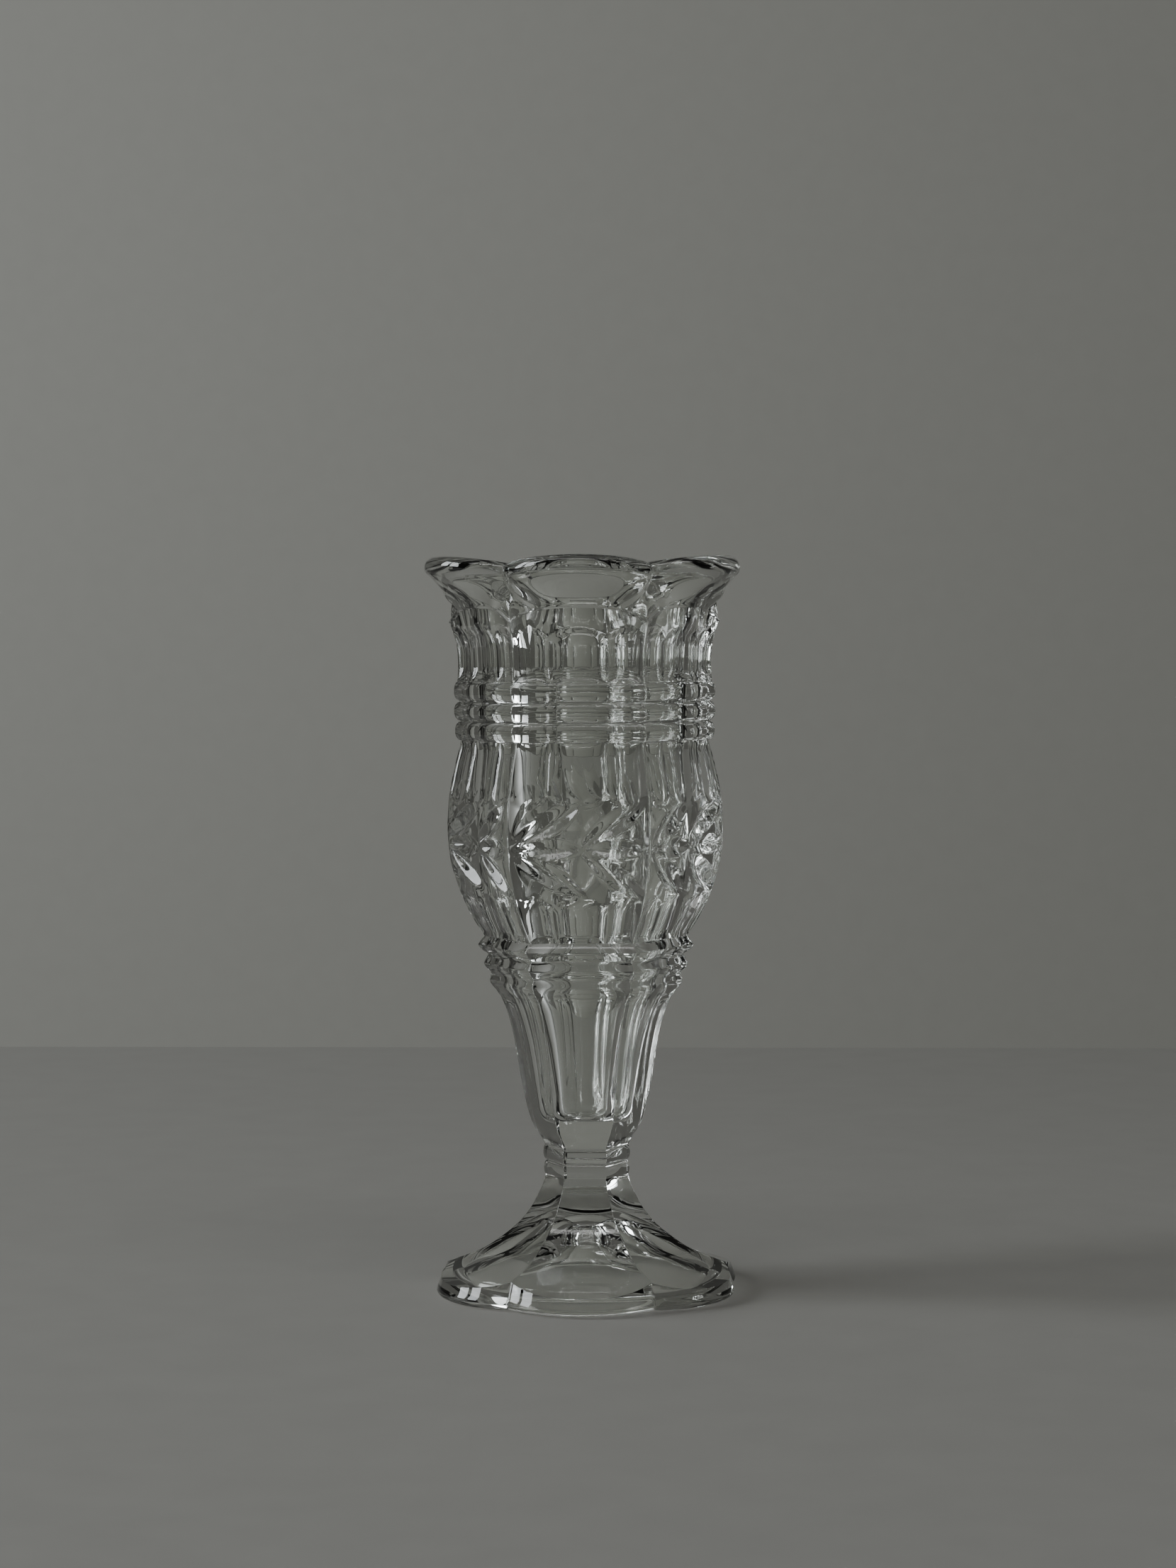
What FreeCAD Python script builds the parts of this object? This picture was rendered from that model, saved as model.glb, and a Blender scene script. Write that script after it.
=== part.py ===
import FreeCAD, Part
import math
import os
import Sketcher

# A clear pressed-glass bud vase, in millimetres, standing on the XY plane with its axis on +Z.
# It is six-sided: flat panels meet in ridges that run from the lip to the foot, with one ridge
# on +X and one panel centre on -Y. The bowl, the stem's collar and the foot meet face to face.

# Named heights and ridge radii of the six-sided outside, from the table up.
SECTIONS = {
    "foot_brim": (3.7, 45.6),
    "foot_tread": (6.4, 34.3),
    "foot_slope": (9.0, 27.4),
    "foot_instep": (12.3, 21.6),
    "foot_flare": (18.6, 14.7),
    "foot_neck": (24.6, 11.1),
    "foot_top": (28.3, 10.1),
    "collar_top": (35.7, 10.3),
    "cup_heel": (40.4, 13.1),
    "cup_low": (47.0, 15.1),
    "cup_middle": (60.0, 17.4),
    "cup_high": (68.0, 19.2),
    "cup_lip": (73.4, 22.0),
    "belly_seat": (87.4, 25.0),
    "belly_low": (97.0, 30.4),
    "belly_middle": (113.5, 33.9),
    "belly_high": (126.5, 32.4),
    "belly_shoulder": (134.8, 30.4),
    "waist_low": (149.6, 30.9),
    "waist": (155.0, 31.0),
    "waist_high": (164.0, 33.0),
}

# Height and ridge radius of each ring, lowest first; every ring stands on a slimmer core.
COLLAR_RINGS = {"collar_ring_low": (29.9, 10.6), "collar_ring_high": (33.6, 10.8)}
CUP_RINGS = {
    "cup_ring_low": (76.2, 23.8),
    "cup_ring_middle": (80.3, 25.2),
    "cup_ring_high": (84.9, 26.6),
}
NECK_RINGS = {
    "neck_ring_low": (137.6, 32.0),
    "neck_ring_middle": (142.4, 32.2),
    "neck_ring_high": (147.3, 32.2),
}

# Heights, cusp radii and lobe radii where the lip opens from a hexagon into six lobes.
LIP_OUTSIDE = {
    "lip_arch": (167.6, 33.6, 31.0),
    "lip_throat": (171.0, 34.3, 34.5),
    "lip_flare": (174.6, 34.8, 38.2),
    "lip_edge": (178.0, 35.0, 41.0),
    "lip_over": (182.0, 35.2, 41.2),
}
LIP_INSIDE = {
    "mouth_waist": (150.0, 24.0, 24.0),
    "mouth_arch": (160.0, 25.6, 25.6),
    "mouth_throat": (167.0, 28.4, 28.8),
    "mouth_flare": (173.0, 30.8, 33.6),
    "mouth_edge": (178.0, 31.8, 37.8),
    "mouth_over": (184.0, 32.6, 40.0),
}

OTHER_SIZES = {
    "collar_ring_width": 3.2,
    "collar_ring_relief": 0.7,
    "cup_ring_width": 3.9,
    "cup_ring_relief": 1.5,
    "neck_ring_width": 4.8,
    "neck_ring_relief": 1.3,
    "foot_cusp_radius": 35.2,
    "foot_lobe_radius": 38.6,
    "foot_clearance": 60.0,
    "dome_height": 16.0,
    "dome_radius": 32.0,
    "dome_haunch_radius": 28.5,
    "dome_haunch_height": 3.6,
    "dome_crown_radius": 10.0,
    "dome_crown_height": 13.0,
    "cavity_floor": 42.8,
    "cavity_floor_radius": 8.2,
    "cavity_cup_height": 66.7,
    "cavity_cup_radius": 12.4,
    "cavity_seat_height": 92.0,
    "cavity_seat_radius": 20.9,
    "cavity_belly_height": 108.0,
    "cavity_belly_radius": 23.2,
    "lip_cusp_height": 177.7,
    "lip_rise": 0.38,
}

SHEET = "dimensions"


def fill_sheet(document):
    """Write every driving dimension into the sheet, one aliased cell each."""
    sheet = document.addObject("Spreadsheet::Sheet", SHEET)
    sizes = {}
    for group in (SECTIONS, COLLAR_RINGS, CUP_RINGS, NECK_RINGS):
        for name, (height, radius) in group.items():
            sizes[name + "_height"] = height
            sizes[name + "_radius"] = radius
    for group in (LIP_OUTSIDE, LIP_INSIDE):
        for name, (height, cusp, lobe) in group.items():
            sizes[name + "_height"] = height
            sizes[name + "_cusp"] = cusp
            sizes[name + "_lobe"] = lobe
    sizes.update(OTHER_SIZES)
    for row, (name, value) in enumerate(sizes.items(), start=1):
        sheet.set(f"A{row}", name)
        sheet.set(f"B{row}", str(value))
        sheet.setAlias(f"B{row}", name)
    document.recompute()
    return sheet


def cell(name):
    """The expression that reads one dimension."""
    return f"{SHEET}.{name}"


def new_body(document, name):
    body = document.addObject("PartDesign::Body", name)
    body.Label = name
    body.Placement = FreeCAD.Placement()
    return body


def origin_plane(body, role):
    for feature in body.Origin.OriginFeatures:
        if feature.Role == role:
            return feature
    raise ValueError(f"{body.Name} has no {role}")


def plane_sketch(body, name, role):
    sketch = body.newObject("Sketcher::SketchObject", name)
    sketch.AttachmentSupport = [(origin_plane(body, role), "")]
    sketch.MapMode = "FlatFace"
    return sketch


def corner_points(radius):
    points = []
    for side in range(6):
        angle = math.radians(60 * side)
        points.append(FreeCAD.Vector(radius * math.cos(angle), radius * math.sin(angle), 0))
    return points


def draw_hexagon(sketch, radius, radius_expression, construction):
    """Six equal sides inside a construction circle, with the first corner on the X axis."""
    up = FreeCAD.Vector(0, 0, 1)
    circle = sketch.addGeometry(Part.Circle(FreeCAD.Vector(), up, radius), True)
    sketch.addConstraint(Sketcher.Constraint("Coincident", circle, 3, -1, 1))
    size = sketch.addConstraint(Sketcher.Constraint("Radius", circle, radius))
    points = corner_points(radius)
    sides = []
    for side in range(6):
        line = Part.LineSegment(points[side], points[(side + 1) % 6])
        sides.append(sketch.addGeometry(line, construction))
    for side in range(6):
        after = sides[(side + 1) % 6]
        sketch.addConstraint(Sketcher.Constraint("Coincident", sides[side], 2, after, 1))
        sketch.addConstraint(Sketcher.Constraint("PointOnObject", sides[side], 1, circle))
    for side in sides[1:]:
        sketch.addConstraint(Sketcher.Constraint("Equal", sides[0], side))
    sketch.addConstraint(Sketcher.Constraint("PointOnObject", sides[0], 1, -1))
    sketch.setExpression(f"Constraints[{size}]", radius_expression)
    return sides


def hexagon(body, name, height, radius):
    """A hexagon whose height and ridge radius are expressions of the sheet."""
    sketch = plane_sketch(body, name, "XY_Plane")
    sketch.setExpression("AttachmentOffset.Base.z", height)
    draw_hexagon(sketch, 20.0, radius, False)
    return sketch


def lobed_outline(body, name, section, sizes):
    """Six equal arcs that bulge between cusps; equal radii make a circle."""
    height, cusp, lobe = sizes
    sketch = plane_sketch(body, name, "XY_Plane")
    sketch.setExpression("AttachmentOffset.Base.z", cell(section + "_height"))
    draw_lobes(sketch, cusp, lobe, cell(section + "_cusp"), cell(section + "_lobe"))
    return sketch


def draw_lobes(sketch, cusp, lobe, cusp_expression, lobe_expression):
    """Six arcs on a construction hexagon, each as tall as its lobe stands out."""
    sides = draw_hexagon(sketch, cusp, cusp_expression, True)
    rise = lobe - cusp * math.cos(math.radians(30))
    arc_radius = ((cusp / 2) ** 2 + rise**2) / (2 * rise)
    points = corner_points(cusp)
    arcs = []
    for side in range(6):
        middle = math.radians(60 * side + 30)
        crown = FreeCAD.Vector(lobe * math.cos(middle), lobe * math.sin(middle), 0)
        arc = Part.Arc(points[side], crown, points[(side + 1) % 6])
        arcs.append(sketch.addGeometry(arc, False))
    for arc, side in zip(arcs, sides):
        sketch.addConstraint(Sketcher.Constraint("Coincident", arc, 1, side, 1))
        sketch.addConstraint(Sketcher.Constraint("Coincident", arc, 2, side, 2))
    for arc in arcs[1:]:
        sketch.addConstraint(Sketcher.Constraint("Equal", arcs[0], arc))
    size = sketch.addConstraint(Sketcher.Constraint("Radius", arcs[0], arc_radius))
    rise_expression = f"({lobe_expression} - {cusp_expression} * cos(30 deg))"
    half_expression = f"({cusp_expression} / 2)"
    sketch.setExpression(
        f"Constraints[{size}]",
        f"({half_expression} ^ 2 + {rise_expression} ^ 2) / (2 * {rise_expression})",
    )


def profile(body, name, points, bindings):
    """A closed outline in the XZ plane; bindings tie each corner's place to the sheet."""
    sketch = plane_sketch(body, name, "XZ_Plane")
    corners = [FreeCAD.Vector(across, along, 0) for across, along in points]
    lines = []
    for index, corner in enumerate(corners):
        after = corners[(index + 1) % len(corners)]
        lines.append(sketch.addGeometry(Part.LineSegment(corner, after), False))
    for index, line in enumerate(lines):
        after = lines[(index + 1) % len(lines)]
        sketch.addConstraint(Sketcher.Constraint("Coincident", line, 2, after, 1))
    for line, (across, along) in zip(lines, bindings):
        place_corner(sketch, line, across, along)
    return sketch


def place_corner(sketch, line, across, along):
    """Tie a line's first end to an expression along each axis; None puts it on the axis."""
    if across is None:
        sketch.addConstraint(Sketcher.Constraint("PointOnObject", line, 1, -2))
    else:
        wide = sketch.addConstraint(Sketcher.Constraint("DistanceX", -1, 1, line, 1, 10.0))
        sketch.setExpression(f"Constraints[{wide}]", across)
    if along is None:
        sketch.addConstraint(Sketcher.Constraint("PointOnObject", line, 1, -1))
    else:
        tall = sketch.addConstraint(Sketcher.Constraint("DistanceY", -1, 1, line, 1, 10.0))
        sketch.setExpression(f"Constraints[{tall}]", along)


def loft(body, name, kind, sketches, ruled):
    """Join a run of outlines into one solid, or cut it away."""
    feature = body.newObject(f"PartDesign::{kind}Loft", name)
    feature.Profile = sketches[0]
    feature.Sections = sketches[1:]
    feature.Ruled = ruled
    feature.Closed = False
    return feature


def groove(body, name, sketch):
    """Turn a profile about the vase's axis and cut it away."""
    feature = body.newObject("PartDesign::Groove", name)
    feature.Profile = sketch
    feature.ReferenceAxis = (sketch, ["V_Axis"])
    feature.Angle = 360
    return feature


def section_run(body, names, ruled=False):
    """One stretch of the six-sided outside, from the first named section to the last."""
    sketches = []
    for name in names:
        label = f"{body.Name}_{name}"
        sketches.append(hexagon(body, label, cell(name + "_height"), cell(name + "_radius")))
    return loft(body, f"{body.Name}_{names[0]}_run", "Additive", sketches, ruled)


def ring(body, name, family):
    """A six-sided ring with a flat face and two sloping sides."""
    centre = cell(name + "_height")
    radius = cell(name + "_radius")
    half = f"{cell(family + '_width')} / 2"
    relief = cell(family + "_relief")
    steps = {
        "under": (f"{centre} - {half}", f"{radius} - {relief}"),
        "low": (f"{centre} - {half} * 0.6", f"{radius} - {relief} * 0.1"),
        "high": (f"{centre} + {half} * 0.6", f"{radius} - {relief} * 0.1"),
        "over": (f"{centre} + {half}", f"{radius} - {relief}"),
    }
    sketches = []
    for step, (height, size) in steps.items():
        sketches.append(hexagon(body, f"{name}_{step}", height, size))
    return loft(body, name, "Additive", sketches, True)


def cut_cavity(body):
    """The round hollow that a plunger leaves: flat floor, tapered cup and nearly straight belly."""
    points = [(0, 43), (7, 43), (12, 67), (21, 92), (23, 108), (24, 150), (0, 150)]
    bindings = [
        (None, cell("cavity_floor")),
        (cell("cavity_floor_radius"), cell("cavity_floor")),
        (cell("cavity_cup_radius"), cell("cavity_cup_height")),
        (cell("cavity_seat_radius"), cell("cavity_seat_height")),
        (cell("cavity_belly_radius"), cell("cavity_belly_height")),
        (cell("mouth_waist_cusp"), cell("mouth_waist_height")),
        (None, cell("mouth_waist_height")),
    ]
    sketch = profile(body, "cavity_profile", points, bindings)
    return groove(body, "cavity", sketch)


def cut_mouth(body):
    """The flared mouth, which opens from the round hollow into six lobes."""
    outlines = [lobed_outline(body, name, name, sizes) for name, sizes in LIP_INSIDE.items()]
    return loft(body, "mouth", "Subtractive", outlines, False)


def trim_lip(body):
    """A shallow cone over the lip, so that its lobes stand higher than its cusps."""
    reach = cell("foot_clearance")
    cusp = cell("lip_edge_cusp")
    level = cell("lip_cusp_height")
    rise = cell("lip_rise")
    top = f"{level} + {reach}"
    points = [(0, 164), (60, 187), (60, 238), (0, 238)]
    bindings = [
        (None, f"{level} - {rise} * {cusp}"),
        (reach, f"{level} + {rise} * ({reach} - {cusp})"),
        (reach, top),
        (None, top),
    ]
    sketch = profile(body, "lip_cone", points, bindings)
    return groove(body, "lip_trim", sketch)


def build_bowl(document):
    body = new_body(document, "bowl")
    section_run(body, ["collar_top", "cup_heel", "cup_low", "cup_middle", "cup_high", "cup_lip"])
    section_run(body, ["cup_lip", "belly_seat"], ruled=True)
    for name in CUP_RINGS:
        ring(body, name, "cup_ring")
    section_run(body, ["belly_seat", "belly_low", "belly_middle", "belly_high", "belly_shoulder"])
    waist = ["belly_shoulder", "waist_low", "waist", "waist_high"]
    section_run(body, waist)
    for name in NECK_RINGS:
        ring(body, name, "neck_ring")
    outlines = [hexagon(body, "lip_base", cell("waist_high_height"), cell("waist_high_radius"))]
    outlines += [lobed_outline(body, name, name, sizes) for name, sizes in LIP_OUTSIDE.items()]
    loft(body, "lip", "Additive", outlines, False)
    cut_cavity(body)
    cut_mouth(body)
    trim_lip(body)
    return body


def build_collar(document):
    """The solid knop under the bowl, with its two rings."""
    body = new_body(document, "stem_collar")
    section_run(body, ["foot_top", "collar_top"], ruled=True)
    for name in COLLAR_RINGS:
        ring(body, name, "collar_ring")
    return body


def scallop_brim(body):
    """Trim the foot to six lobes that meet in cusps below the ridges."""
    sketch = plane_sketch(body, "brim_outline", "XY_Plane")
    cusp = OTHER_SIZES["foot_cusp_radius"]
    lobe = OTHER_SIZES["foot_lobe_radius"]
    draw_lobes(sketch, cusp, lobe, cell("foot_cusp_radius"), cell("foot_lobe_radius"))
    up = FreeCAD.Vector(0, 0, 1)
    edge = sketch.addGeometry(Part.Circle(FreeCAD.Vector(), up, 60.0), False)
    sketch.addConstraint(Sketcher.Constraint("Coincident", edge, 3, -1, 1))
    size = sketch.addConstraint(Sketcher.Constraint("Radius", edge, 60.0))
    sketch.setExpression(f"Constraints[{size}]", cell("foot_clearance"))
    feature = body.newObject("PartDesign::Pocket", "brim")
    feature.Profile = sketch
    feature.Type = 1
    feature.Reversed = True
    return feature


def hollow_foot(body):
    """A domed hollow under the foot, which leaves a flat ring to stand on."""
    points = [(0, 0), (32, 0), (28, 4), (10, 13), (0, 16)]
    bindings = [
        (None, None),
        (cell("dome_radius"), None),
        (cell("dome_haunch_radius"), cell("dome_haunch_height")),
        (cell("dome_crown_radius"), cell("dome_crown_height")),
        (None, cell("dome_height")),
    ]
    sketch = profile(body, "dome_profile", points, bindings)
    return groove(body, "dome", sketch)


def build_foot(document):
    body = new_body(document, "foot")
    table = hexagon(body, "foot_base", "0", cell("foot_brim_radius"))
    brim = hexagon(body, "foot_rim", cell("foot_brim_height"), cell("foot_brim_radius"))
    loft(body, "foot_plate", "Additive", [table, brim], True)
    flare = ["foot_brim", "foot_tread", "foot_slope", "foot_instep", "foot_flare", "foot_neck"]
    section_run(body, flare + ["foot_top"])
    scallop_brim(body)
    hollow_foot(body)
    return body


def check_document(document, bodies):
    """Stop on any failed feature, and on any sub-part that is not one sound solid."""
    for item in document.Objects:
        if "Invalid" in item.State or "Error" in item.State:
            raise RuntimeError(f"{item.Name} failed: {item.State}")
    for body in bodies:
        shape = body.Shape
        if shape.isNull() or not shape.isValid() or len(shape.Solids) != 1:
            raise RuntimeError(f"{body.Label} is not one sound solid")
        print(body.Label, round(shape.Volume), shape.BoundBox)


def export_parts(bodies):
    os.makedirs("parts", exist_ok=True)
    for body in bodies:
        body.Shape.exportStep(f"parts/{body.Label}.step")


vase = FreeCAD.newDocument("bud_vase")
fill_sheet(vase)
sub_parts = [build_bowl(vase), build_collar(vase), build_foot(vase)]
vase.recompute()
check_document(vase, sub_parts)
export_parts(sub_parts)
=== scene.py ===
import math

import bpy
import numpy as np
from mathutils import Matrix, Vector


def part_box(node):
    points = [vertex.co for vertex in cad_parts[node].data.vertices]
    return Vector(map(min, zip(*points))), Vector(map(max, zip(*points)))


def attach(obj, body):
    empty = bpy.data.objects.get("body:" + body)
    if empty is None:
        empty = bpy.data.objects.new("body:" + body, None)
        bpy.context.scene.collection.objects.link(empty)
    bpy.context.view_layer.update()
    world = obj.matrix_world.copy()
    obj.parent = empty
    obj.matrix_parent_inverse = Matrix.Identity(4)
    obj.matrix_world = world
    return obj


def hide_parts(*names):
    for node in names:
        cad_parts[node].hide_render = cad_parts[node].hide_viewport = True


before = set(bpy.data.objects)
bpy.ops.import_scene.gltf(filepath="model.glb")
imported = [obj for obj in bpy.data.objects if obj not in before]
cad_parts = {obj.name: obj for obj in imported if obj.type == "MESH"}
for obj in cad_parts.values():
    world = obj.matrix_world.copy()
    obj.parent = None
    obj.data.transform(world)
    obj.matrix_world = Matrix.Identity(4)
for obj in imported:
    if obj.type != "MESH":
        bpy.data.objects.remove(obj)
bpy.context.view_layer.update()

# A clear pressed-glass bud vase. The outside is six-sided: flat panels meet in ridges, with a
# ridge on +X and the middle of a panel on -Y. Sizes are in millimetres until a mesh is made.

MM = 0.001

COLLAR_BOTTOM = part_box("stem_collar")[0][2] / MM
COLLAR_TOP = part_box("stem_collar")[1][2] / MM
HALF_PANEL = math.radians(30)
COS_HALF = math.cos(HALF_PANEL)

# ---- the grid of columns round the vase -------------------------------------------------------

# A panel has a wide flute in its middle and a narrow one on each side of that.
SIDE_FLUTE = 0.28
SIDE_STEPS = 22
MIDDLE_STEPS = 32
MIDDLE_EDGE = 1 - 2 * SIDE_FLUTE


def panel_columns():
    """Angles of the columns, and each column's place across its panel, -1 to 1 at the ridges."""
    left = np.linspace(-1, -MIDDLE_EDGE, SIDE_STEPS, endpoint=False)
    middle = np.linspace(-MIDDLE_EDGE, MIDDLE_EDGE, MIDDLE_STEPS, endpoint=False)
    right = np.linspace(MIDDLE_EDGE, 1, SIDE_STEPS, endpoint=False)
    across = np.concatenate([left, middle, right])
    swing = np.arctan(across * math.tan(HALF_PANEL))
    angles = []
    places = []
    for panel in range(6):
        angles.append(math.radians(30 + 60 * panel) + swing)
        places.append(across)
    return np.concatenate(angles), np.concatenate(places)


def flute_side():
    """How far each column is from the middle of its flute, 1 on the flute's edges."""
    place = np.abs(ACROSS)
    side_middle = 1 - SIDE_FLUTE
    return np.where(place < MIDDLE_EDGE, place / MIDDLE_EDGE, np.abs(place - side_middle) / SIDE_FLUTE)


ANGLE, ACROSS = panel_columns()
SWING = np.arctan(ACROSS * math.tan(HALF_PANEL))
COLUMNS = len(ANGLE)
FLUTE_SIDE = flute_side()


def lobes(cusp, lobe):
    """Radius of an outline of six equal arcs that meet in cusps at the ridges."""
    rise = lobe - cusp * COS_HALF
    arc = ((cusp / 2) ** 2 + rise**2) / (2 * rise)
    centre = lobe - arc
    return centre * np.cos(SWING) + np.sqrt(arc**2 - (centre * np.sin(SWING)) ** 2)


def smooth(points, at):
    """A smooth line through a few points, without overshoot between them."""
    xs = np.array([p[0] for p in points], float)
    ys = np.array([p[1] for p in points], float)
    step = np.diff(xs)
    rate = np.diff(ys) / step
    slope = np.empty_like(ys)
    slope[0] = rate[0]
    slope[-1] = rate[-1]
    same_way = rate[:-1] * rate[1:] > 0
    total = np.where(same_way, rate[:-1] + rate[1:], 1.0)
    slope[1:-1] = np.where(same_way, 2 * rate[:-1] * rate[1:] / total, 0.0)
    at = np.clip(at, xs[0], xs[-1])
    left = np.clip(np.searchsorted(xs, at, side="right") - 1, 0, len(xs) - 2)
    width = step[left]
    part = (at - xs[left]) / width
    square = part * part
    cube = square * part
    return (
        (2 * cube - 3 * square + 1) * ys[left]
        + (cube - 2 * square + part) * width * slope[left]
        + (3 * square - 2 * cube) * ys[left + 1]
        + (cube - square) * width * slope[left + 1]
    )


# ---- the outside of the bowl ------------------------------------------------------------------

# Height and ridge radius where the outline turns.
CUP_RIDGE = [
    (35.7, 10.3), (37.6, 11.3), (40.0, 12.9), (42.0, 13.8), (46.0, 14.9), (52.5, 16.2),
    (60.0, 17.4), (66.0, 18.7), (70.0, 20.0), (72.0, 20.9), (74.0, 22.3),
]
BELLY_RIDGE = [
    (87.0, 24.9), (89.5, 26.5), (92.0, 28.0), (96.0, 30.0), (100.5, 31.7), (106.5, 33.3),
    (114.0, 33.9), (120.0, 33.6), (127.0, 32.4), (134.9, 30.4),
]
WAIST_RIDGE = [(149.6, 31.3), (153.5, 31.0), (157.5, 31.2), (161.0, 32.0), (164.0, 32.9), (168.0, 33.6)]

# Height and ridge radius of each ring's middle, and of the core that the rings stand on.
CUP_RINGS = [(76.2, 23.7), (80.3, 25.1), (84.9, 26.5)]
NECK_RINGS = [(137.6, 31.9), (142.4, 32.1), (147.3, 32.1)]
COLLAR_RINGS = [(29.9, 10.55), (33.6, 10.7)]
CUP_CORE = [(74.0, 22.3), (77.3, 23.0), (81.8, 23.9), (87.0, 24.9)]
NECK_CORE = [(134.9, 30.4), (140.0, 30.5), (144.8, 30.7), (149.6, 31.2)]

# Half of a ring's height, and how much a soft ring's flanks swell.
CUP_RING_HALF = 2.15
NECK_RING_HALF = 2.38
COLLAR_RING_HALF = 1.75
RING_SWELL = 0.6


def soft_ring(height, middle, radius, half, core):
    """A ring whose swelling flanks meet in a blunt edge, standing on its core."""
    part = np.clip(1 - np.abs(height - middle) / half, 0.0, 1.0)
    return core + (radius - core) * part * (1 + RING_SWELL - RING_SWELL * part)


def bead_ring(height, middle, radius, half, core):
    """A ring with a round face, standing on its core."""
    part = np.clip(1 - ((height - middle) / half) ** 2, 0.0, 1.0)
    return core + (radius - core) * np.sqrt(part)


def cup_ring_ridge(height):
    core = smooth(CUP_CORE, height)
    ridge = core
    for middle, radius in CUP_RINGS:
        ridge = np.maximum(ridge, soft_ring(height, middle, radius, CUP_RING_HALF, core))
    return ridge


def neck_ring_ridge(height):
    core = smooth(NECK_CORE, height)
    ridge = core
    for middle, radius in NECK_RINGS:
        ridge = np.maximum(ridge, bead_ring(height, middle, radius, NECK_RING_HALF, core))
    return ridge


# A band of flutes: its bottom and top, the length of its rounded end at the bottom and at the top
# (0 for an end that runs out square), and its depth.
CUP_FLUTES = (46.0, 73.6, 14.0, 0, 0.35)
LOW_BELLY_FLUTES = (87.3, 98.3, 0, 4.0, 0.8)
HIGH_BELLY_FLUTES = (119.8, 134.7, 4.5, 0, 0.8)
WAIST_FLUTES = (150.2, 162.8, 0, 4.6, 1.1)
FLUTE_POWER = 0.6


def flute_depth(height, band):
    """Three hollows across each panel; a rounded end closes over its own length."""
    low, high, low_round, high_round, deep = band
    fade = np.zeros_like(height)
    if low_round:
        fade = np.maximum(fade, (low + low_round - height) / low_round)
    if high_round:
        fade = np.maximum(fade, (height - high + high_round) / high_round)
    depth = deep * np.clip(1 - FLUTE_SIDE**2 - fade**2, 0.0, None) ** FLUTE_POWER
    inside = (height >= low) & (height <= high)
    return np.where(inside, depth, 0.0)


# A motif is three leaves that open to the right of its origin: their start and end, measured
# round the vase and up it from the origin, and their half width.
LEAF_LEVEL = 110.1
LEAVES = [
    ((0.4, 0.6), (16.4, 11.4), 2.9),
    ((1.2, 0.0), (16.0, 0.0), 2.7),
    ((0.4, -0.6), (16.4, -12.2), 2.9),
]
LEAF_DEPTH = 2.2
CREASE_ROUND = 0.01
MOTIFS = 12


def leaf_depth(height, radius):
    """Almond-shaped cuts whose two flanks meet in a crease along the leaf."""
    depth = np.zeros_like(height)
    pitch = 2 * math.pi / MOTIFS
    for shift in (0, 1):
        turn = np.mod(ANGLE, pitch) + shift * pitch
        along = turn * radius
        for start, end, half in LEAVES:
            cut = one_leaf(along, height - LEAF_LEVEL, start, end, half)
            depth = np.maximum(depth, cut)
    return depth


def one_leaf(along, up, start, end, half):
    """Depth of one leaf's cut, whose crease is very slightly rounded."""
    middle = ((start[0] + end[0]) / 2, (start[1] + end[1]) / 2)
    reach = math.hypot(end[0] - start[0], end[1] - start[1]) / 2
    way = ((end[0] - start[0]) / (2 * reach), (end[1] - start[1]) / (2 * reach))
    run = ((along - middle[0]) * way[0] + (up - middle[1]) * way[1]) / reach
    off = ((up - middle[1]) * way[0] - (along - middle[0]) * way[1]) / half
    inside = 1 - run**2 - np.sqrt(off**2 + CREASE_ROUND)
    return LEAF_DEPTH * np.clip(inside, 0.0, 1.0)


def soft_step(part):
    """0 below 0, 1 above 1, and a smooth climb between them."""
    part = np.clip(part, 0.0, 1.0)
    return part * part * (3 - 2 * part)


def flat_panel(ridge):
    """Radius of a six-sided section whose ridges stand at the given radius."""
    return ridge * COS_HALF / np.cos(SWING)


def cup_radius(height):
    radius = flat_panel(smooth(CUP_RIDGE, height))
    return radius - flute_depth(height, CUP_FLUTES)


def cup_ring_radius(height):
    return flat_panel(cup_ring_ridge(height))


def belly_radius(height):
    radius = flat_panel(smooth(BELLY_RIDGE, height))
    cuts = flute_depth(height, LOW_BELLY_FLUTES)
    cuts = np.maximum(cuts, flute_depth(height, HIGH_BELLY_FLUTES))
    cuts = np.maximum(cuts, leaf_depth(height, radius))
    return radius - cuts


def neck_ring_radius(height):
    return flat_panel(neck_ring_ridge(height))


def waist_radius(height):
    radius = flat_panel(smooth(WAIST_RIDGE, height))
    return radius - flute_depth(height, WAIST_FLUTES)


def rows_at(levels, shape):
    """Rows of points at level heights, each row one turn round the vase."""
    rows = []
    for level in levels:
        height = np.full(COLUMNS, level)
        rows.append((shape(height), height))
    return rows


def spaced(low, high, gap):
    """Even levels from low up to, but not including, high."""
    count = max(1, round((high - low) / gap))
    return list(np.linspace(low, high, count + 1)[:-1])


# Levels across a soft ring, as shares of half its height, and the least gap between two levels.
RING_SHARES = (-1.0, -0.7, -0.4, -0.15, 0.0, 0.15, 0.4, 0.7, 1.0)
LEAST_GAP = 0.05


def ring_levels(rings, half):
    """Levels on the edges, flanks and middle of each soft ring."""
    levels = [CUP_CORE[0][0]]
    for middle, _ in rings:
        for share in RING_SHARES:
            level = middle + half * share
            if level > levels[-1] + LEAST_GAP:
                levels.append(level)
    return levels


def bead_levels(rings, half, steps):
    """Levels that crowd towards each bead's edges, where its round face is steepest."""
    levels = []
    for middle, _ in rings:
        for turn in np.linspace(math.pi, 0, steps + 1):
            levels.append(middle + half * math.cos(turn))
    return sorted(levels)


# ---- the lip ----------------------------------------------------------------------------------

# Where the arches' rows start, the arches' height on the ridges and how far they rise between.
ARCH_START = 156.0
ARCH_FOOT = 163.8
ARCH_RISE = 3.6
ARCH_POWER = 3

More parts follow.
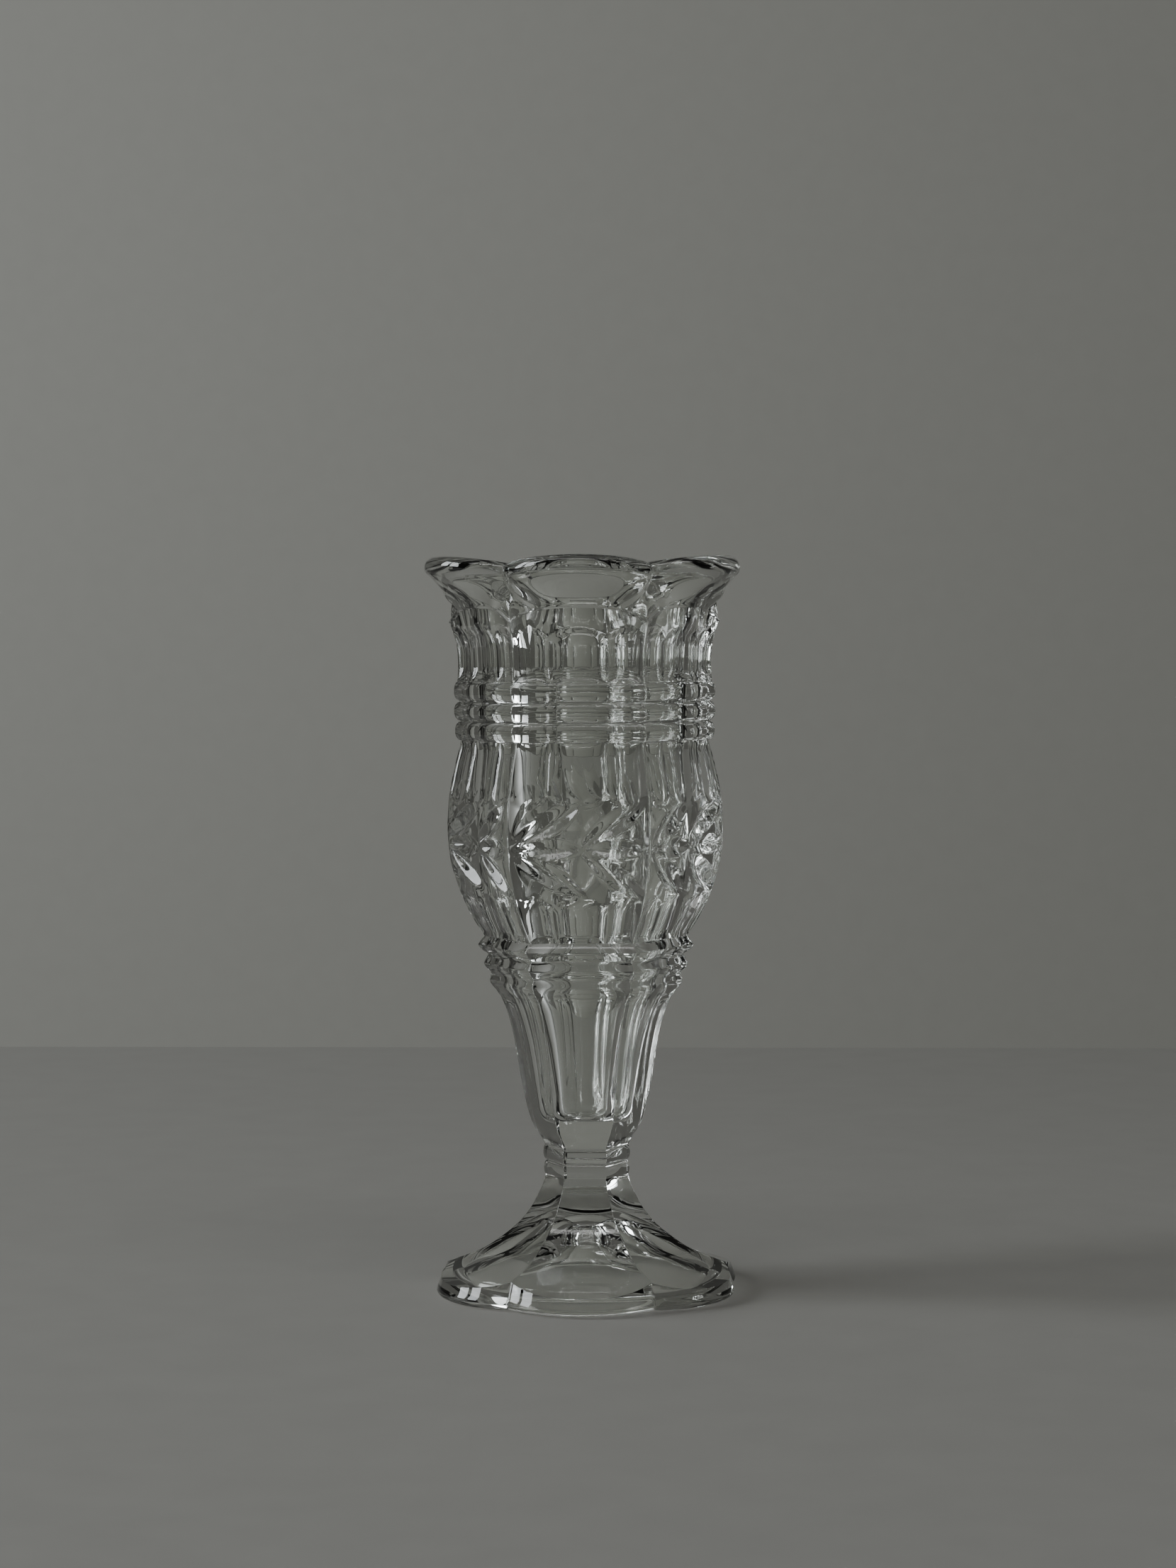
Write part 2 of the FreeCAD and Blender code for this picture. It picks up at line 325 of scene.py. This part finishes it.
# Radius of the lip's cusps and lobes, the height of a cusp, and the rise per millimetre outwards.
LIP_CUSP = 35.0
LIP_LOBE = 41.0
LIP_CUSP_TOP = 178.1
LIP_SLOPE = 0.31

# Radius of the lip's rounded edge, and how many degrees below level it starts on a cusp, with the
# extra on a lobe.
BEAD = 2.2
BEAD_START = 50
BEAD_START_LOBE = 10


def arch_height():
    """The arches between panel and lip: low points on the ridges, flat tops between."""
    return ARCH_FOOT + ARCH_RISE * (1 - np.abs(ACROSS) ** ARCH_POWER)


def arch_rows(count):
    """Rows that start level and end on the arches."""
    rows = []
    top = arch_height()
    for part in np.linspace(0, 1, count)[1:]:
        height = ARCH_START + (top - ARCH_START) * part
        rows.append((waist_radius(height), height))
    return rows


def bead_centre():
    """Radius and height of the middle of the lip's rounded edge."""
    edge = lobes(LIP_CUSP, LIP_LOBE)
    top = LIP_CUSP_TOP + LIP_SLOPE * (edge - LIP_CUSP)
    return edge - BEAD, top - BEAD


def lobe_share():
    """0 on a cusp and 1 in the middle of a lobe."""
    return (lobes(LIP_CUSP, LIP_LOBE) - LIP_CUSP) / (LIP_LOBE - LIP_CUSP)


def bead_start():
    """The angle at which the rounded edge takes over from the flare."""
    return np.radians(-BEAD_START - BEAD_START_LOBE * lobe_share())


def bead_point(turn):
    """A point on the rounded edge, the given angle above level."""
    centre, level = bead_centre()
    return centre + BEAD * np.cos(turn), level + BEAD * np.sin(turn)


def hermite(start, start_way, end, end_way, part):
    """A curve between two points that leaves and arrives along the given ways."""
    square = part * part
    cube = square * part
    return (
        (2 * cube - 3 * square + 1) * start
        + (cube - 2 * square + part) * start_way
        + (3 * square - 2 * cube) * end
        + (cube - square) * end_way
    )


# How far the flare stands out over the arches.
LEDGE = 0.7

# The flare's slope in degrees where it leaves the arches, and how much less that is on a ridge;
# then its slope where it reaches the rounded edge, and how much less that is on a lobe.
FLARE_START = 70
FLARE_START_RIDGE = 22
FLARE_END = 58
FLARE_END_LOBE = 14

# The facet's top on a ridge, the height of its side corners, their distance from the ridge, its
# depth, and how softly its upper edge and its foot on the arch begin.
FACET_TOP = 173.8
FACET_CORNER = 166.9
FACET_HALF = 7.8
FACET_DEPTH = 1.7
FACET_EDGE_SOFT = 0.4
FACET_ARCH_SOFT = 1.2


def facet_depth(radius, height):
    """A hollow facet across each ridge, from the arches up to a corner under the cusp."""
    off = (HALF_PANEL - np.abs(SWING)) * radius
    below_edge = (FACET_TOP - height) / (FACET_TOP - FACET_CORNER) - off / FACET_HALF
    above_arch = (height - arch_height()) / FACET_ARCH_SOFT
    return FACET_DEPTH * soft_step(below_edge / FACET_EDGE_SOFT) * soft_step(above_arch)


def flare_rows(count):
    """The trumpet-shaped flare from the arches out to the rounded edge."""
    low = arch_height()
    start = waist_radius(low) + LEDGE
    edge, top = bead_point(bead_start())
    chord = np.hypot(edge - start, top - low)
    lean = np.radians(FLARE_START - FLARE_START_RIDGE * np.abs(ACROSS) ** ARCH_POWER)
    reach = np.radians(FLARE_END - FLARE_END_LOBE * lobe_share())
    rows = []
    for part in np.linspace(0, 1, count):
        radius = hermite(start, chord * np.cos(lean), edge, chord * np.cos(reach), part)
        height = hermite(low + LEDGE / 2, chord * np.sin(lean), top, chord * np.sin(reach), part)
        rows.append((radius - facet_depth(radius, height), height))
    return rows


def bead_rows(count):
    """Over the rounded edge of the lip, from outside to inside."""
    rows = []
    begin = bead_start()
    for part in np.linspace(0, 1, count)[1:]:
        rows.append(bead_point(begin + math.pi * part))
    return rows


# ---- the hollow -------------------------------------------------------------------------------

# Height and radius of the hollow, the height of its floor, and how far its corner reaches in.
HOLLOW = [
    (46.0, 8.4), (52.0, 9.3), (58.8, 10.5), (66.7, 12.4), (74.0, 14.8), (82.0, 17.6), (90.0, 20.1),
    (98.0, 22.0), (108.0, 23.1), (125.0, 23.6), (150.0, 24.0), (158.0, 24.6),
]
HOLLOW_FLOOR = 42.8
HOLLOW_CORNER = 3.2
MOUTH_START = 156.0


def mouth_rows(count):
    """The inside of the flare, from the rounded edge down to the round hollow."""
    turn = bead_start() + math.pi
    edge, top = bead_point(turn)
    low = np.full(COLUMNS, MOUTH_START)
    start = smooth(HOLLOW, low)
    chord = np.hypot(edge - start, top - low)
    rows = []
    for part in np.linspace(1, 0, count)[1:]:
        radius = hermite(start, 0.0, edge, chord * np.sin(turn), part)
        height = hermite(low, chord, top, -chord * np.cos(turn), part)
        rows.append((radius, height))
    return rows


def hollow_rows(count, corner_count):
    """The plunger's hollow, down to its flat floor."""
    rows = []
    bottom = HOLLOW[0][0]
    for level in np.linspace(MOUTH_START, bottom, count)[1:]:
        height = np.full(COLUMNS, level)
        rows.append((smooth(HOLLOW, height), height))
    wide = HOLLOW[0][1]
    for turn in np.linspace(0, math.pi / 2, corner_count)[1:]:
        radius = wide - HOLLOW_CORNER * (1 - math.cos(turn))
        level = bottom - (bottom - HOLLOW_FLOOR) * math.sin(turn)
        rows.append((np.full(COLUMNS, radius), np.full(COLUMNS, level)))
    return rows


# ---- collar and foot --------------------------------------------------------------------------

# Height and ridge radius of the collar under its rings.
COLLAR_CORE = [(28.3, 10.1), (31.8, 9.85), (35.7, 10.3)]

# Ridge radius and height of the foot's flare, and how much its rows crowd towards the collar.
FOOT_RIDGE = [
    (10.1, 28.3), (10.6, 26.5), (11.1, 25.0), (12.1, 23.0), (13.2, 20.9), (14.7, 18.7),
    (16.4, 16.6), (18.7, 14.5), (21.6, 12.3), (24.6, 10.3), (27.4, 9.0), (30.7, 7.7),
    (34.3, 6.4), (39.5, 5.0), (45.6, 3.7),
]
FOOT_CROWD = 1.5
SCOOP_DEPTH = 0.5
BRIM_TOP_CUSP = 33.4
BRIM_TOP_LOBE = 37.6
BRIM_CUSP = 35.2
BRIM_LOBE = 38.6
BRIM_ROUND = 1.5
BRIM_SHARES = (0.33, 0.66, 1.0)
BRIM_TURNS = (22.5, 45.0, 67.5, 90.0)

# Radius and height of the hollow under the foot, and the radius of its innermost row.
DOME = [(0.0, 16.0), (5.0, 15.3), (10.0, 13.0), (20.0, 7.9), (28.5, 3.6), (31.0, 2.0), (32.0, 0.0)]
DOME_POLE = 0.6


def collar_radius(height):
    core = smooth(COLLAR_CORE, height)
    ridge = core
    for middle, radius in COLLAR_RINGS:
        ridge = np.maximum(ridge, bead_ring(height, middle, radius, COLLAR_RING_HALF, core))
    return flat_panel(ridge)


def foot_rows(count):
    """The ridged flare, out to the brim's lobes; it hollows a little between the ridges."""
    edge = lobes(BRIM_TOP_CUSP, BRIM_TOP_LOBE) * np.cos(SWING) / COS_HALF
    first = FOOT_RIDGE[0][0]
    rows = []
    for part in np.linspace(0, 1, count):
        spread = part**FOOT_CROWD
        ridge = first + (edge - first) * spread
        height = smooth(FOOT_RIDGE, ridge)
        hollow = SCOOP_DEPTH * (1 - ACROSS**2) * math.sin(math.pi * part) ** 2
        rows.append((ridge * COS_HALF / np.cos(SWING), height - hollow))
    return rows


def brim_rows():
    """Down the brim's edge and round to the flat ring that the vase stands on."""
    start, top = foot_rows(count=2)[-1]
    edge = lobes(BRIM_CUSP, BRIM_LOBE)
    rows = []
    for part in BRIM_SHARES:
        rows.append((start + (edge - start) * part, top + (BRIM_ROUND - top) * part))
    for turn in np.radians(BRIM_TURNS):
        inward = BRIM_ROUND * (1 - math.cos(turn))
        level = BRIM_ROUND * (1 - math.sin(turn))
        rows.append((edge - inward, np.full(COLUMNS, level)))
    return rows


def dome_rows(count):
    """The hollow under the foot: a cone with a round crown and a steep wall at the brim."""
    edge = DOME[-1][0]
    rows = []
    for radius in np.linspace(edge, DOME_POLE, count):
        ring = np.full(COLUMNS, radius)
        rows.append((ring, smooth(DOME, ring)))
    return rows


# ---- meshes -----------------------------------------------------------------------------------


def ring_points(rows):
    """The grid's corners in metres, row by row."""
    points = []
    for radius, height in rows:
        x = radius * np.cos(ANGLE)
        y = radius * np.sin(ANGLE)
        points.append(np.stack([x, y, height], axis=1) * MM)
    return np.concatenate(points)


def neighbours():
    """The number of each column, and of the column after it."""
    column = np.arange(COLUMNS)
    return column, (column + 1) % COLUMNS


def grid_faces(row_count):
    """Four-sided faces between each row and the next."""
    column, after = neighbours()
    faces = []
    for row in range(row_count - 1):
        low = row * COLUMNS
        high = low + COLUMNS
        faces.append(np.stack([low + column, low + after, high + after, high + column], axis=1))
    return np.concatenate(faces)


def end_fans(last_row, start_centre, end_centre):
    """Triangles that close the first and the last row to points on the axis."""
    column, after = neighbours()
    last = last_row * COLUMNS
    start_fan = np.stack([after, column, np.full(COLUMNS, start_centre)], axis=1)
    end_fan = np.stack([last + column, last + after, np.full(COLUMNS, end_centre)], axis=1)
    return start_fan.tolist() + end_fan.tolist()


def face_slots(quad_count, fused_start, fused_end):
    """Material slot of each face: the second material goes on the fused ends."""
    slots = np.zeros(quad_count + 2 * COLUMNS, dtype=np.int32)
    if fused_start:
        slots[quad_count:quad_count + COLUMNS] = 1
    if fused_end:
        slots[quad_count + COLUMNS:] = 1
    return slots


SHARP_ANGLE = 42
ON_EDGE = 0.999


def set_edges(mesh):
    """Crisp edges between the flutes, and soft ones along the ridges."""
    ends = np.zeros(2 * len(mesh.edges), dtype=np.int32)
    mesh.edges.foreach_get("vertices", ends)
    ends = ends.reshape(-1, 2) % COLUMNS
    sharp = np.zeros(len(mesh.edges), dtype=bool)
    mesh.edges.foreach_get("use_edge_sharp", sharp)
    upright = ends[:, 0] == ends[:, 1]
    on_flute = (FLUTE_SIDE > ON_EDGE)[ends[:, 0]]
    on_ridge = (np.abs(ACROSS) > ON_EDGE)[ends[:, 0]]
    sharp |= upright & on_flute
    sharp &= ~(upright & on_ridge)
    mesh.edges.foreach_set("use_edge_sharp", sharp)


def closed_piece(name, rows, fused_start=False, fused_end=False):
    """A closed mesh from rows of points; its two ends are fans of triangles to the axis."""
    start_level = float(np.mean(rows[0][1])) * MM
    end_level = float(np.mean(rows[-1][1])) * MM
    points = np.vstack([ring_points(rows), [[0, 0, start_level], [0, 0, end_level]]])
    quads = grid_faces(len(rows)).tolist()
    fans = end_fans(len(rows) - 1, len(points) - 2, len(points) - 1)
    mesh = bpy.data.meshes.new(name)
    mesh.from_pydata(points.tolist(), [], quads + fans)
    mesh.polygons.foreach_set("use_smooth", [True] * len(mesh.polygons))
    mesh.set_sharp_from_angle(angle=math.radians(SHARP_ANGLE))
    set_edges(mesh)
    mesh.materials.append(GLASS)
    mesh.materials.append(FUSED)
    mesh.polygons.foreach_set("material_index", face_slots(len(quads), fused_start, fused_end))
    mesh.update()
    piece = bpy.data.objects.new(name, mesh)
    bpy.context.scene.collection.objects.link(piece)
    return piece


# ---- materials --------------------------------------------------------------------------------

GLASS_TINT = (0.92, 0.935, 0.905)
FLOOR_DARK = (0.225, 0.221, 0.205)
FLOOR_LIGHT = (0.252, 0.248, 0.23)
WALL_DARK = (0.35, 0.344, 0.312)
WALL_LIGHT = (0.373, 0.367, 0.333)
ROOM_TONE = (0.075, 0.075, 0.07)


def new_material(name):
    """A new material, and its Principled BSDF."""
    material = bpy.data.materials.new(name)
    material.use_nodes = True
    shader = material.node_tree.nodes["Principled BSDF"]
    return material, shader


def glass_material():
    """Clear pressed glass, faintly grey-olive, with the slow waviness of a fire-polished skin."""
    material, shader = new_material("clear_pressed_glass")
    nodes = material.node_tree.nodes
    links = material.node_tree.links
    shader.inputs["Base Color"].default_value = (*GLASS_TINT, 1)
    shader.inputs["Transmission Weight"].default_value = 1.0
    shader.inputs["IOR"].default_value = 1.5
    shader.inputs["Roughness"].default_value = 0.0
    place = nodes.new("ShaderNodeTexCoord")
    wave = nodes.new("ShaderNodeTexNoise")
    wave.inputs["Scale"].default_value = 90.0
    wave.inputs["Detail"].default_value = 1.0
    bump = nodes.new("ShaderNodeBump")
    bump.inputs["Strength"].default_value = 0.05
    bump.inputs["Distance"].default_value = 0.0004
    links.new(place.outputs["Object"], wave.inputs["Vector"])
    links.new(wave.outputs["Fac"], bump.inputs["Height"])
    links.new(bump.outputs["Normal"], shader.inputs["Normal"])
    return material


def fused_material():
    """Where two pieces are fused there is no surface, so light goes straight through."""
    material, shader = new_material("fused_joint")
    shader.inputs["Alpha"].default_value = 0.0
    return material


def plain_material(name, dark, light):
    """A matt surface with a barely visible mottle."""
    material, shader = new_material(name)
    nodes = material.node_tree.nodes
    links = material.node_tree.links
    place = nodes.new("ShaderNodeTexCoord")
    grain = nodes.new("ShaderNodeTexNoise")
    grain.inputs["Scale"].default_value = 60.0
    grain.inputs["Detail"].default_value = 4.0
    tone = nodes.new("ShaderNodeValToRGB")
    tone.color_ramp.elements[0].color = (*dark, 1)
    tone.color_ramp.elements[1].color = (*light, 1)
    links.new(place.outputs["Object"], grain.inputs["Vector"])
    links.new(grain.outputs["Fac"], tone.inputs["Fac"])
    links.new(tone.outputs["Color"], shader.inputs["Base Color"])
    shader.inputs["Roughness"].default_value = 0.6
    return material


GLASS = glass_material()
FUSED = fused_material()


# ---- the vase ---------------------------------------------------------------------------------


# Gaps between rows; they are closest across the leaves.
CUP_GAP = 1.9
BELLY_GAP = 1.2
LEAF_GAP = 0.5
SHOULDER_GAP = 1.5
WAIST_GAP = 1.2
LEAVES_LOW = 96.5
LEAVES_HIGH = 123.0

# How far above the start of its outline the belly's and the waist's first row is.
BELLY_STEP = 0.2
WAIST_STEP = 0.3


def belly_levels():
    levels = spaced(BELLY_RIDGE[0][0] + BELLY_STEP, LEAVES_LOW, BELLY_GAP)
    levels += spaced(LEAVES_LOW, LEAVES_HIGH, LEAF_GAP)
    levels += spaced(LEAVES_HIGH, BELLY_RIDGE[-1][0], SHOULDER_GAP)
    return levels


def waist_levels():
    return spaced(WAIST_RIDGE[0][0] + WAIST_STEP, ARCH_START, WAIST_GAP) + [ARCH_START]


def bowl_rows():
    """From the fused plane up the outside, over the lip and down to the hollow's floor."""
    rows = rows_at(spaced(COLLAR_TOP, CUP_CORE[0][0], CUP_GAP), cup_radius)
    rows += rows_at(ring_levels(CUP_RINGS, CUP_RING_HALF), cup_ring_radius)
    rows += rows_at(belly_levels(), belly_radius)
    rows += rows_at(bead_levels(NECK_RINGS, NECK_RING_HALF, steps=7), neck_ring_radius)
    rows += rows_at(waist_levels(), waist_radius)
    rows += arch_rows(count=15)
    rows += flare_rows(count=18)
    rows += bead_rows(count=11)
    rows += mouth_rows(count=12)
    rows += hollow_rows(count=15, corner_count=6)
    return rows


def collar_rows():
    """From one fused plane up to the other."""
    levels = [COLLAR_BOTTOM] + bead_levels(COLLAR_RINGS, COLLAR_RING_HALF, steps=9) + [COLLAR_TOP]
    levels = [level for level in levels if COLLAR_BOTTOM <= level <= COLLAR_TOP]
    return rows_at(sorted(set(levels)), collar_radius)


def foot_piece_rows():
    """From the dome's crown down to the brim, round it and up to the fused plane."""
    rows = foot_rows(count=50)
    rows += brim_rows()
    rows += dome_rows(count=40)
    return rows[::-1]


bowl = closed_piece("bowl_glass", bowl_rows(), fused_start=True)
collar = closed_piece("collar_glass", collar_rows(), fused_start=True, fused_end=True)
foot = closed_piece("foot_glass", foot_piece_rows(), fused_end=True)
for piece, node in ((bowl, "bowl"), (collar, "stem_collar"), (foot, "foot")):
    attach(piece, "root")
    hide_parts(node)


# ---- floor, light and camera ------------------------------------------------------------------

# Metres from here on.
FLOOR_LEVEL = -0.0003
FLOOR_FRONT = -1.6
FLOOR_BACK = 0.48
FLOOR_HALF = 0.9
WALL_PLACE = 2.0
WALL_LEFT = -0.9
WALL_RIGHT = 0.8
WALL_BOTTOM = -0.4
WALL_TOP = 1.5


def add_sheet(name, corners, material):
    """One flat four-cornered sheet of the stage."""
    mesh = bpy.data.meshes.new(name)
    mesh.from_pydata(corners, [], [(0, 1, 2, 3)])
    mesh.materials.append(material)
    sheet = bpy.data.objects.new(name, mesh)
    bpy.context.scene.collection.objects.link(sheet)


def add_floor():
    corners = [
        (-FLOOR_HALF, FLOOR_FRONT, FLOOR_LEVEL),
        (FLOOR_HALF, FLOOR_FRONT, FLOOR_LEVEL),
        (FLOOR_HALF, FLOOR_BACK, FLOOR_LEVEL),
        (-FLOOR_HALF, FLOOR_BACK, FLOOR_LEVEL),
    ]
    add_sheet("floor", corners, plain_material("pale_floor", FLOOR_DARK, FLOOR_LIGHT))


def add_wall():
    """A plain backdrop well behind the vase and somewhat larger than the view."""
    corners = [
        (WALL_LEFT, WALL_PLACE, WALL_BOTTOM),
        (WALL_RIGHT, WALL_PLACE, WALL_BOTTOM),
        (WALL_RIGHT, WALL_PLACE, WALL_TOP),
        (WALL_LEFT, WALL_PLACE, WALL_TOP),
    ]
    add_sheet("wall", corners, plain_material("plain_wall", WALL_DARK, WALL_LIGHT))


# Where the lights aim, and the colour, size and power of the window's panes.
MIDDLE = (0, 0, 0.09)
DAYLIGHT = (0.93, 0.97, 1.0)
PANE_SIZE = (0.58, 1.6)
PANE_POWER = 34


def add_soft_light(name, place, size, power, colour=(1, 1, 1)):
    """A rectangle of light that faces the middle of the vase."""
    light = bpy.data.lights.new(name, "AREA")
    light.shape = "RECTANGLE"
    light.size = size[0]
    light.size_y = size[1]
    light.energy = power
    light.color = colour
    lamp = bpy.data.objects.new(name, light)
    lamp.location = place
    lamp.rotation_euler = (Vector(MIDDLE) - Vector(place)).to_track_quat("-Z", "Y").to_euler()
    bpy.context.scene.collection.objects.link(lamp)
    return lamp


def let_through_foot(lamps):
    """Light from these lamps goes on through the clear foot to the floor under it."""
    blockers = bpy.data.collections.new("overhead_blockers")
    blockers.objects.link(bowl)
    blockers.objects.link(collar)
    for lamp in lamps:
        lamp.light_linking.blocker_collection = blockers


def add_lights():
    """The window on the left, a long strip above the front and a wide faint ceiling."""
    add_soft_light("pane_left", (-2.32, 0.05, 0.94), PANE_SIZE, PANE_POWER, DAYLIGHT)
    add_soft_light("pane_right", (-2.2, -0.66, 0.94), PANE_SIZE, PANE_POWER, DAYLIGHT)
    strip = add_soft_light("strip", (0.0, -0.55, 1.25), size=(1.7, 0.2), power=4)
    ceiling = add_soft_light("ceiling", (0.0, 0.0, 2.6), size=(3.0, 3.0), power=5)
    let_through_foot([strip, ceiling])


def add_world():
    """An even, dim room round the stage."""
    world = bpy.data.worlds.new("soft_room")
    world.use_nodes = True
    back = world.node_tree.nodes["Background"]
    back.inputs["Color"].default_value = (*ROOM_TONE, 1)
    back.inputs["Strength"].default_value = 1.0
    bpy.context.scene.world = world


def add_camera():
    """The camera stands a little to the right, just under the height of the lip."""
    camera = bpy.data.cameras.new("camera")
    camera.lens = 78.2
    camera.sensor_width = 36.0
    camera.dof.use_dof = False
    camera.clip_start = 0.01
    holder = bpy.data.objects.new("camera", camera)
    distance = 0.835
    height = 0.1632
    turn = math.radians(2.9)
    swing = math.radians(0.053)
    pitch = math.radians(2.66)
    roll = math.radians(0.28)
    holder.location = (distance * math.sin(turn), -distance * math.cos(turn), height)
    holder.rotation_euler = (math.pi / 2 - pitch, 0.0, turn - swing)
    holder.rotation_euler.rotate_axis("Z", -roll)
    bpy.context.scene.collection.objects.link(holder)
    bpy.context.scene.camera = holder


add_floor()
add_wall()
add_world()
add_lights()
add_camera()
